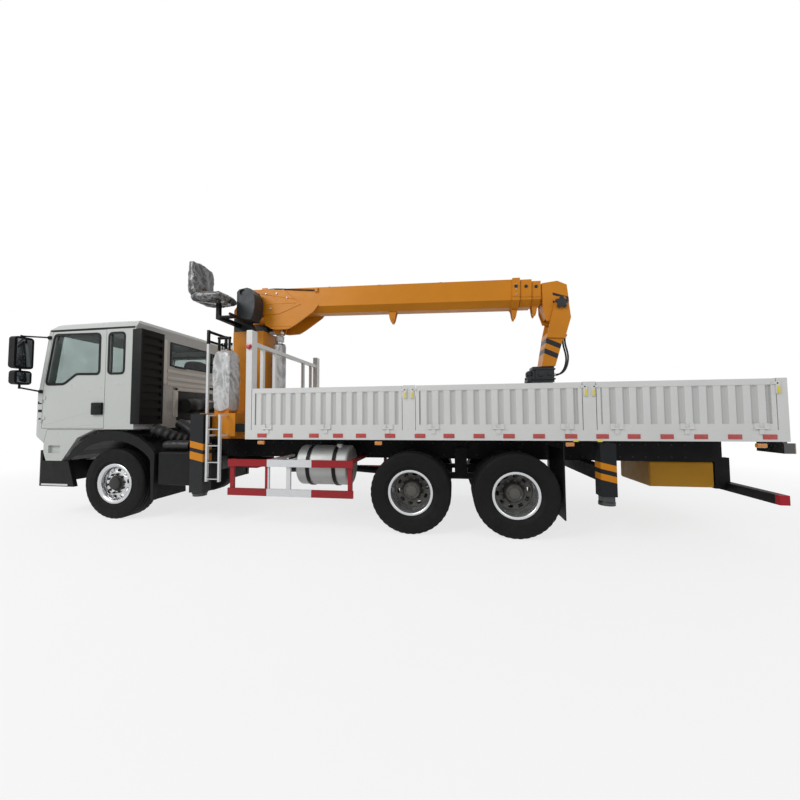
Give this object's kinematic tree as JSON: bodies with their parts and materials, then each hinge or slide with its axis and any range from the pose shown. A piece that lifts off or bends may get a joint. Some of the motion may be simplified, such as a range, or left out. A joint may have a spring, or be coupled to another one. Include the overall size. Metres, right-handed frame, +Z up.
{
  "type": "truck-mounted crane",
  "caption": "Three-axle truck with a telescopic crane behind a tilting cab, a drop-side bed, outriggers, steered front wheels and twin rear wheels.",
  "frame": {"origin": "on the ground, under the middle of the overall box", "axes": "+X to the tail, +Y to the truck's right-hand side, +Z up"},
  "size_m": [10.55, 3.026, 4.02],
  "materials": {
    "cab_white": "gloss",
    "bed_white": "gloss",
    "frame_black": "satin",
    "engine_grey": "matte",
    "trim_black": "matte",
    "lamp_lens": "gloss",
    "window_glass": "gloss",
    "cabin_grey": "matte",
    "tank_aluminium": "satin",
    "guard_red": "gloss",
    "weight_yellow": "gloss",
    "tyre_black": "matte",
    "crane_orange": "gloss",
    "crane_grey": "satin",
    "steel_rod": "satin",
    "seat_grey": "satin",
    "hose_rubber": "matte"
  },
  "bodies": {
    "chassis": {"chassis_frame": "frame_black", "engine": "engine_grey", "axles": "frame_black", "front_bumper": "trim_black", "lamps": "lamp_lens", "mudguards": "trim_black", "fuel_tank": "tank_aluminium", "side_boxes": "trim_black", "side_guards": "guard_red", "counterweight": "weight_yellow", "bed_floor": "bed_white", "headboard": "bed_white", "crane_base": "crane_orange", "ladders": "bed_white", "entry_steps": "cab_white"},
    "cab": {"cab_body": "cab_white", "cab_roof": "cab_white", "cab_front": "cab_white", "cab_glass": "window_glass", "cab_interior": "cabin_grey", "cab_trim": "trim_black"},
    "door_left": {"door_left": "cab_white", "door_left_glass": "window_glass"},
    "door_right": {"door_right": "cab_white", "door_right_glass": "window_glass"},
    "column": {"column": "crane_orange", "winch_hoods": "crane_grey", "crane_seat": "seat_grey"},
    "jib": {"jib": "crane_orange", "rotator": "crane_grey", "tool_hoses": "hose_rubber"},
    "board_left_1": {"board_left_1": "bed_white"},
    "board_left_2": {"board_left_2": "bed_white"},
    "board_left_3": {"board_left_3": "bed_white"},
    "board_right_1": {"board_right_1": "bed_white"},
    "board_right_2": {"board_right_2": "bed_white"},
    "board_right_3": {"board_right_3": "bed_white"},
    "tailgate": {"tailgate": "bed_white"},
    "knuckle_left": {"knuckle_left": "frame_black"},
    "knuckle_right": {"knuckle_right": "frame_black"},
    "tie_rod": {"tie_rod": "frame_black"},
    "wheel_front_left": {"wheel_front_left": "tyre_black"},
    "wheel_front_right": {"wheel_front_right": "tyre_black"},
    "wheel_mid_left": {"wheel_mid_left": "tyre_black"},
    "wheel_mid_right": {"wheel_mid_right": "tyre_black"},
    "wheel_rear_left": {"wheel_rear_left": "tyre_black"},
    "wheel_rear_right": {"wheel_rear_right": "tyre_black"},
    "boom_base": {"boom_base": "crane_orange"},
    "boom_2": {"boom_2": "crane_orange"},
    "boom_3": {"boom_3": "crane_orange"},
    "boom_4": {"boom_4": "crane_orange"},
    "beam_left": {"beam_left": "crane_grey"},
    "beam_right": {"beam_right": "crane_grey"},
    "luff_barrel": {"luff_barrel": "crane_grey"},
    "luff_rod": {"luff_rod": "steel_rod"},
    "jack_left": {"jack_left": "steel_rod"},
    "jack_right": {"jack_right": "steel_rod"},
    "rear_jack_left": {"rear_jack_left": "steel_rod"},
    "rear_jack_right": {"rear_jack_right": "steel_rod"},
    "rotor": {"rotor": "steel_rod"}
  },
  "joints": [
    {"name": "cab_tilt", "type": "hinge", "parent": "chassis", "child": "cab", "pos_m": [-4.985, 0, 0.86], "axis": [0, -1, 0], "range_deg": [0, 50]},
    {"name": "door_left_hinge", "type": "hinge", "parent": "cab", "child": "door_left", "pos_m": [-5.04, -1.208, 1.7], "axis": [0, 0, -1], "range_deg": [0, 70]},
    {"name": "door_right_hinge", "type": "hinge", "parent": "cab", "child": "door_right", "pos_m": [-5.04, 1.208, 1.7], "axis": [0, 0, 1], "range_deg": [0, 70]},
    {"name": "steer_left", "type": "hinge", "parent": "chassis", "child": "knuckle_left", "pos_m": [-3.695, -0.9, 0.538], "axis": [0, 0, 1], "range_deg": [-38, 38]},
    {"name": "steer_right", "type": "hinge", "parent": "chassis", "child": "knuckle_right", "pos_m": [-3.695, 0.9, 0.538], "axis": [0, 0, 1], "range_deg": [-38, 38]},
    {"name": "tie_rod_pin", "type": "hinge", "parent": "knuckle_left", "child": "tie_rod", "pos_m": [-3.475, -0.83, 0.416], "axis": [0, 0, 1], "range_deg": [-45, 45]},
    {"name": "spin_front_left", "type": "hinge", "parent": "knuckle_left", "child": "wheel_front_left", "pos_m": [-3.695, -1.02, 0.538], "axis": [0, 1, 0], "continuous": true},
    {"name": "spin_front_right", "type": "hinge", "parent": "knuckle_right", "child": "wheel_front_right", "pos_m": [-3.695, 1.02, 0.538], "axis": [0, 1, 0], "continuous": true},
    {"name": "spin_mid_left", "type": "hinge", "parent": "chassis", "child": "wheel_mid_left", "pos_m": [0.905, -0.9075, 0.538], "axis": [0, 1, 0], "continuous": true},
    {"name": "spin_mid_right", "type": "hinge", "parent": "chassis", "child": "wheel_mid_right", "pos_m": [0.905, 0.9075, 0.538], "axis": [0, 1, 0], "continuous": true},
    {"name": "spin_rear_left", "type": "hinge", "parent": "chassis", "child": "wheel_rear_left", "pos_m": [2.255, -0.9075, 0.538], "axis": [0, 1, 0], "continuous": true},
    {"name": "spin_rear_right", "type": "hinge", "parent": "chassis", "child": "wheel_rear_right", "pos_m": [2.255, 0.9075, 0.538], "axis": [0, 1, 0], "continuous": true},
    {"name": "board_left_1_hinge", "type": "hinge", "parent": "chassis", "child": "board_left_1", "pos_m": [-0.268, -1.262, 1.385], "axis": [1, 0, 0], "range_deg": [0, 180]},
    {"name": "board_left_2_hinge", "type": "hinge", "parent": "chassis", "child": "board_left_2", "pos_m": [2.0195, -1.262, 1.385], "axis": [1, 0, 0], "range_deg": [0, 180]},
    {"name": "board_left_3_hinge", "type": "hinge", "parent": "chassis", "child": "board_left_3", "pos_m": [4.157, -1.262, 1.385], "axis": [1, 0, 0], "range_deg": [0, 180]},
    {"name": "board_right_1_hinge", "type": "hinge", "parent": "chassis", "child": "board_right_1", "pos_m": [-0.268, 1.262, 1.385], "axis": [-1, 0, 0], "range_deg": [0, 180]},
    {"name": "board_right_2_hinge", "type": "hinge", "parent": "chassis", "child": "board_right_2", "pos_m": [2.0195, 1.262, 1.385], "axis": [-1, 0, 0], "range_deg": [0, 180]},
    {"name": "board_right_3_hinge", "type": "hinge", "parent": "chassis", "child": "board_right_3", "pos_m": [4.157, 1.262, 1.385], "axis": [-1, 0, 0], "range_deg": [0, 180]},
    {"name": "tailgate_hinge", "type": "hinge", "parent": "chassis", "child": "tailgate", "pos_m": [5.231, 0, 1.385], "axis": [0, 1, 0], "range_deg": [0, 90]},
    {"name": "slew", "type": "hinge", "parent": "chassis", "child": "column", "pos_m": [-2.035, 0, 1.65], "axis": [0, 0, 1], "continuous": true},
    {"name": "luff", "type": "hinge", "parent": "column", "child": "boom_base", "pos_m": [-2.215, 0, 3.4], "axis": [0, -1, 0], "range_deg": [0, 75]},
    {"name": "extend_2", "type": "slide", "parent": "boom_base", "child": "boom_2", "axis": [0.9997, 0, -0.0262], "range_m": [0, 3]},
    {"name": "extend_3", "type": "slide", "parent": "boom_2", "child": "boom_3", "axis": [0.9997, 0, -0.0262], "range_m": [0, 3]},
    {"name": "extend_4", "type": "slide", "parent": "boom_3", "child": "boom_4", "axis": [0.9997, 0, -0.0262], "range_m": [0, 3]},
    {"name": "lift_foot", "type": "hinge", "parent": "column", "child": "luff_barrel", "pos_m": [-1.615, 0, 1.85], "axis": [0, -1, 0], "range_deg": [-3, 3]},
    {"name": "lift_stroke", "type": "slide", "parent": "luff_barrel", "child": "luff_rod", "axis": [0, 0, 1], "range_m": [0, 0.81]},
    {"name": "jib_swing", "type": "hinge", "parent": "boom_4", "child": "jib", "pos_m": [3.152, 0, 3.292], "axis": [0, -1, 0], "range_deg": [-20, 80]},
    {"name": "rotor_spin", "type": "hinge", "parent": "jib", "child": "rotor", "pos_m": [2.905, 0, 2.05], "axis": [0, 0, 1], "continuous": true},
    {"name": "beam_left_slide", "type": "slide", "parent": "chassis", "child": "beam_left", "axis": [0, -1, 0], "range_m": [0, 1.5]},
    {"name": "beam_right_slide", "type": "slide", "parent": "chassis", "child": "beam_right", "axis": [0, 1, 0], "range_m": [0, 1.5]},
    {"name": "jack_left_drop", "type": "slide", "parent": "beam_left", "child": "jack_left", "axis": [0, 0, -1], "range_m": [0, 0.39]},
    {"name": "jack_right_drop", "type": "slide", "parent": "beam_right", "child": "jack_right", "axis": [0, 0, -1], "range_m": [0, 0.39]},
    {"name": "rear_jack_left_drop", "type": "slide", "parent": "chassis", "child": "rear_jack_left", "axis": [0, 0, -1], "range_m": [0, 0.44]},
    {"name": "rear_jack_right_drop", "type": "slide", "parent": "chassis", "child": "rear_jack_right", "axis": [0, 0, -1], "range_m": [0, 0.44]}
  ],
  "couplings": [
    {"joint": "steer_right", "follows": "steer_left", "ratio": 1},
    {"joint": "tie_rod_pin", "follows": "steer_left", "ratio": -1.0843},
    {"joint": "extend_3", "follows": "extend_2", "ratio": 1},
    {"joint": "extend_4", "follows": "extend_2", "ratio": 1},
    {"joint": "lift_foot", "follows": "luff", "ratio": 0.02},
    {"joint": "lift_stroke", "follows": "luff", "m_per_rad": 0.617}
  ]
}
